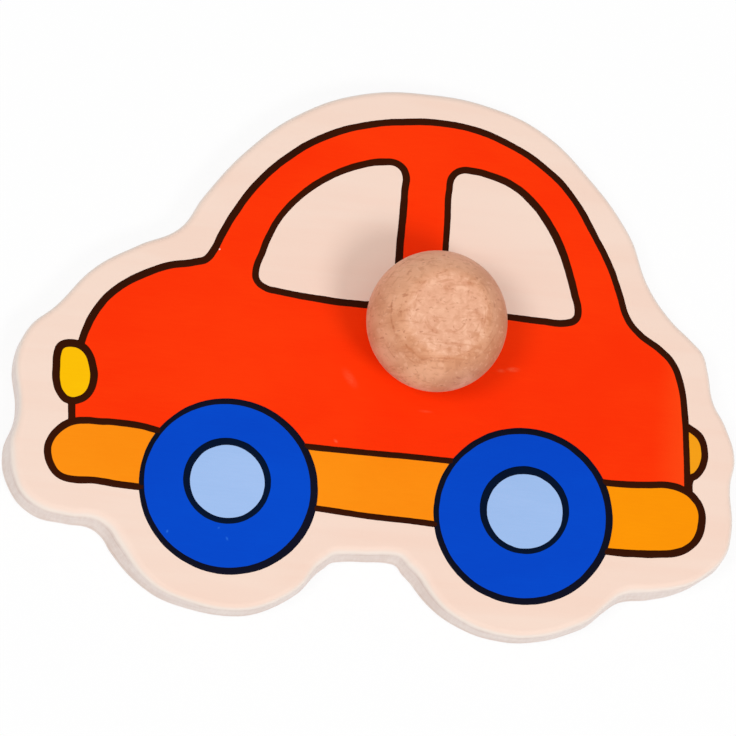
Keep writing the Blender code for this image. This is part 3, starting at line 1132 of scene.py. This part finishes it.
screwLook = {
    "rim": 0.25 * mm,
    "rimSoftness": 0.08 * mm,
    "shankRadius": 1.5 * mm,
    "coreRadius": 1.025 * mm,
    "shankTop": 5.6 * mm,     # above the board's back, where the plain shank ends
    "tipLength": 2.6 * mm,
    "tipRadius": 0.08 * mm,
    "turns": 64,
    "threadFrom": 6.0 * mm,
    "zinc": srgb(206, 208, 212),
    "zincDull": srgb(168, 170, 172),
    "polish": (0.24, 0.42),
    "shine": 0.5,
    "turningDepth": 0.004 * mm,
    "cloud": ((0.8, 0.8, 0.8), 4.0, 0.6),
    "scuff": ((7.0, 7.0, 7.0), 2.0),
    "ringsPerMm": 14.0,
}

# the thread tree's own inputs
threadLook = {
    "Pitch": 1.25 * mm,
    "Height": 0.42 * mm,
    "In Core": 0.12 * mm,
    "Root": 0.55 * mm,
    "Crest": 0.07 * mm,
    "Tip Share": 0.35,        # how much of its height the thread keeps at the point
}
threadSteps = 36

recessLook = {
    "span": 2.9,
    "width": 0.72,
    "depth": 1.35,
    "flare": 0.45,            # the recess at its foot, as a share of its span at the head
    "corner": 0.18,
    "above": 0.3,
    "blunt": (0.25, 0.12),    # how much deeper its point goes, and the span left there
}


def zincPlate(middle):
    material, tree, shader = newMaterial("zincPlate")
    scuff = grain(tree, *screwLook["scuff"])
    # fine turning rings about the screw's own axis
    x, y, z = split(tree, placeInMm(tree, centre=(middle.x, middle.y, 0.0)))
    fromAxis = (x * x + y * y).calc("SQRT")
    rings = noiseAt(tree, combine(tree, fromAxis * screwLook["ringsPerMm"]), 2.0)
    tone = (grain(tree, *screwLook["cloud"]) * 0.8 + rings * 0.2).remap(0.35, 0.7)
    colour = blend(tree, tone, screwLook["zinc"], screwLook["zincDull"])
    polish = scuff.remap(0.3, 0.7, *screwLook["polish"])
    finishShader(tree, shader, colour, polish, screwLook["shine"], scuff + rings, screwLook["turningDepth"])
    fill(tree, shader, {"Metallic": 1.0})
    return material


def rolledThreadTree():
    # a thread that climbs round the blank it is given, follows it to its point and is joined to it
    sizes = ["Length", "Core Radius", "Tip Length", *threadLook]
    tree, start = newTree("rolledThread", sizes, {"Steps": "Int", "Start": "Vector"})
    helix = field(tree, "GeometryNodeCurveSpiral", {
        "Resolution": start["Steps"], "Rotations": start["Length"] / start["Pitch"],
        "Start Radius": start["Core Radius"], "End Radius": start["Core Radius"],
        "Height": start["Length"], "Reverse": True,   # right-handed
    })
    # the helix closes in over the point
    x, y, z = split(tree, field(tree, "GeometryNodeInputPosition", {}))
    taper = (start["Length"] - z).calc("DIVIDE", start["Tip Length"], clamp=True)
    closing = {"Geometry": helix, "Position": combine(tree, x * taper, y * taper, z)}
    helix = field(tree, "GeometryNodeSetPosition", closing)
    helix = field(tree, "GeometryNodeSetCurveNormal", {"Curve": helix}, mode="Z_UP")
    # the thread's section: a ridge with its crest outwards
    tall = start["Height"] + start["In Core"]
    section = field(tree, "GeometryNodeCurvePrimitiveQuadrilateral", {
        "Height": tall, "Bottom Width": start["Root"], "Top Width": start["Crest"], "Offset": 0.0,
    }, mode="TRAPEZOID")
    section = field(tree, "GeometryNodeTransform", {
        "Geometry": section, "Rotation": (0.0, 0.0, -math.pi / 2),
        "Translation": combine(tree, tall * 0.5 - start["In Core"]),
    })
    runIn = z.calc("DIVIDE", start["Pitch"], clamp=True).calc("MAXIMUM", 0.1)
    runOut = taper * (1.0 - start["Tip Share"]) + start["Tip Share"]
    inputs = {"Curve": helix, "Profile Curve": section, "Scale": runIn * runOut, "Fill Caps": True}
    swept = field(tree, "GeometryNodeCurveToMesh", inputs)
    seated = field(tree, "GeometryNodeTransform", {"Geometry": swept, "Translation": start["Start"]})
    joined = addNode(tree, "GeometryNodeMeshBoolean", {}, operation="UNION", solver="EXACT")
    for part in (start["Geometry"], seated):
        tree.links.new(part.socket, joined.inputs["Mesh 2"])
    return endTree(tree, Field(tree, joined.outputs["Mesh"]), start["Material"])


def recessMesh(middle, headLevel):
    # the cross recess as a solid to cut with: a cross that narrows from above the head's face
    # to the recess's foot, and ends in a blunt point
    above, depth, flare = recessLook["above"], recessLook["depth"], recessLook["flare"]
    deeper, left = recessLook["blunt"]
    rings = []
    for level, share in [(-above, 1 + (1 - flare) * above / depth), (depth, flare), (depth + deeper, left)]:
        span = recessLook["span"] / 2 * share
        width = min(recessLook["width"] / 2 * (0.4 + 0.6 * share), span * 0.9)
        corner = min(recessLook["corner"] * share, (span - width) * 0.4)
        # one wing's end and the hollow corner after it, in each quarter
        wing = [(span, -width), (span, width), (width + corner, width), (width, width + corner)]
        ring = []
        for quarter in range(4):
            for point in wing:
                spot = Matrix.Rotation(math.pi / 2 * quarter, 2) @ Vector(point) * mm
                ring.append((middle.x + spot.x, middle.y + spot.y, headLevel + level * mm))
        rings.append(ring)
    return ringMesh(rings)


def makeScrew():
    low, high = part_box("knob_screw")
    middle = (low + high) / 2
    zinc = zincPlate(middle)
    head = (high.x - low.x) / 2
    rim = low.z + screwLook["rim"]
    soft = screwLook["rimSoftness"]
    shank = screwLook["shankRadius"]
    core = screwLook["coreRadius"]
    shankTop = screwLook["shankTop"]
    tip = screwLook["tipRadius"]
    blank = [
        (0.0, high.z), (tip, high.z - tip), (core, high.z - screwLook["tipLength"]),
        (core, shankTop + shank - core), (shank, shankTop), (shank, rim + head - shank + soft * 3),
        (shank + soft, rim + head - shank), (head - soft, rim + soft), (head, rim), (head, low.z + soft),
        (head - soft * 0.3, low.z + soft * 0.3), (head - soft, low.z), (0.0, low.z),
    ]
    screw = meshObject("zincScrew", turnedMesh(blank, screwLook["turns"], middle), zinc)
    recess = meshObject("recess", recessMesh(middle, low.z), zinc)
    cutAway(screw, recess)
    addTree(screw, rolledThreadTree(), {
        **threadLook,
        "Length": high.z - screwLook["threadFrom"],
        "Core Radius": core,
        "Tip Length": screwLook["tipLength"],
        "Steps": threadSteps,
        "Start": (middle.x, middle.y, screwLook["threadFrom"]),
        "Material": zinc,
    })
    bakeModifiers(screw)
    bpy.data.objects.remove(recess)
    shadeRound(screw, 35.0)
    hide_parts("knob_screw")
    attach(screw, "root")


makeScrew()
print("screw made")


# Studio: pale floor, a soft lamp on each side and a broad one overhead

studio = {
    "floorWidth": 3.0,
    "floorDrop": 0.05 * mm,
    "floorColour": (0.95, 0.95, 0.95, 1.0),
    "floorRoughness": 0.9,
    "shadowShare": 0.12,
    "world": 0.50,
    "lampAim": (3.0, 20.0),
    "lampDistance": 3.2,
    "lamps": [   # name, which way it stands, how high, watts, size
        ("right", -52.0, 57.0, 29.5, 0.9),
        ("left", 201.0, 66.0, 23.5, 0.9),
        ("overhead", -90.0, 80.0, 6.0, 1.8),
    ],
}


def makeFloor():
    shape = bmesh.new()
    bmesh.ops.create_grid(shape, x_segments=1, y_segments=1, size=studio["floorWidth"] / 2)
    mesh = bpy.data.meshes.new("floor")
    shape.to_mesh(mesh)
    shape.free()
    mesh.transform(Matrix.Translation((0.0, 0.0, -studio["floorDrop"])))
    material, tree, shader = newMaterial("paleFloor")
    matt = {"Roughness": studio["floorRoughness"], "Specular IOR Level": 0.0}
    fill(tree, shader, {"Base Color": studio["floorColour"], **matt})
    # seen directly, in gloss or through glass it is white, apart from the object's shadow
    rays = addNode(tree, "ShaderNodeLightPath", {}).outputs
    seen = [Field(tree, rays[f"Is {kind} Ray"]) for kind in ("Camera", "Glossy", "Transmission")]
    share = (seen[0] + seen[1]).calc("ADD", seen[2], clamp=True) * (1.0 - studio["shadowShare"])
    glow = field(tree, "ShaderNodeEmission", {})
    mixed = field(tree, "ShaderNodeMixShader", {0: share, 1: Field(tree, shader.outputs[0]), 2: glow})
    fill(tree, tree.nodes["Material Output"], {"Surface": mixed})
    floor = meshObject("floor", mesh, material)


def makeLamps():
    aim = Vector((*onBoard(studio["lampAim"]), faceHeight))
    for name, turn, rise, watts, size in studio["lamps"]:
        data = bpy.data.lights.new(name, "AREA")
        data.shape = "DISK"
        data.size = size
        data.energy = watts
        away = pointing(turn, rise)
        light = addObject(name, data)
        light.location = aim + away * studio["lampDistance"]
        light.rotation_euler = away.to_track_quat("Z", "Y").to_euler()


def setWorld():
    world = bpy.data.worlds.new("studio")
    world.use_nodes = True
    background = world.node_tree.nodes["Background"]
    fill(world.node_tree, background, {"Color": (1.0, 1.0, 1.0, 1.0), "Strength": studio["world"]})
    bpy.context.scene.world = world
    bpy.context.scene.view_settings.view_transform = "Standard"


makeFloor()
makeLamps()
setWorld()
print("studio set")
